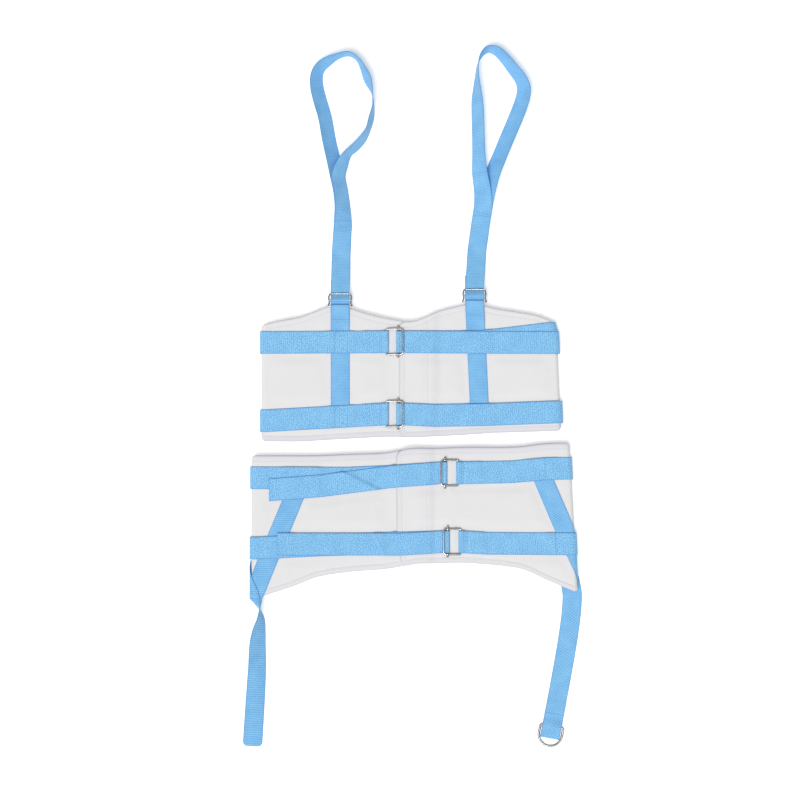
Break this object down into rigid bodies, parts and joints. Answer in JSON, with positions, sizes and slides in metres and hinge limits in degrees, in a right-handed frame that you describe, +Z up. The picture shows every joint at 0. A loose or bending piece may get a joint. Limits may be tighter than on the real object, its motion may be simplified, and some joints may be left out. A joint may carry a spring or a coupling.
{
  "type": "lumbar traction belt",
  "caption": "Two-belt traction harness of padded cloth and blue webbing: a chest belt with shoulder loops and a pelvic belt with pull straps, fastened with wire slide buckles.",
  "frame": {"origin": "middle of the outline seen from above, on the surface that the harness lies on", "axes": "+Y towards the shoulder loops, +X to the right as seen from above, +Z up out of the front"},
  "size_m": [0.5439, 1.1238, 0.031],
  "materials": {
    "panel_cloth": "matt padded cotton cloth with sewn hems",
    "webbing": "matt ribbed webbing",
    "steel": "bright nickel-plated wire"
  },
  "bodies": {
    "harness": {"chest_panel": "panel_cloth", "pelvic_panel": "panel_cloth", "chest_upper_strap": "webbing", "chest_upper_buckle": "steel", "chest_upper_slide_bar": "steel", "chest_lower_strap": "webbing", "chest_lower_buckle": "steel", "chest_lower_slide_bar": "steel", "pelvic_upper_strap": "webbing", "pelvic_upper_buckle": "steel", "pelvic_upper_slide_bar": "steel", "pelvic_lower_strap": "webbing", "pelvic_lower_buckle": "steel", "pelvic_lower_slide_bar": "steel", "chest_left_riser": "webbing", "chest_right_riser": "webbing", "left_slider": "steel", "right_slider": "steel", "left_shoulder_strap": "webbing", "right_shoulder_strap": "webbing", "left_pull_strap": "webbing", "left_back_strap": "webbing", "right_front_diagonal": "webbing", "right_pull_strap": "webbing"},
    "d_ring": {"d_ring": "steel"}
  },
  "joints": [
    {"name": "d_ring_swing", "type": "hinge", "parent": "harness", "child": "d_ring", "pos_m": [0.222, -0.5296, 0.00335], "axis": [-0.982, 0.189, 0], "range_deg": [0, 165]}
  ]
}
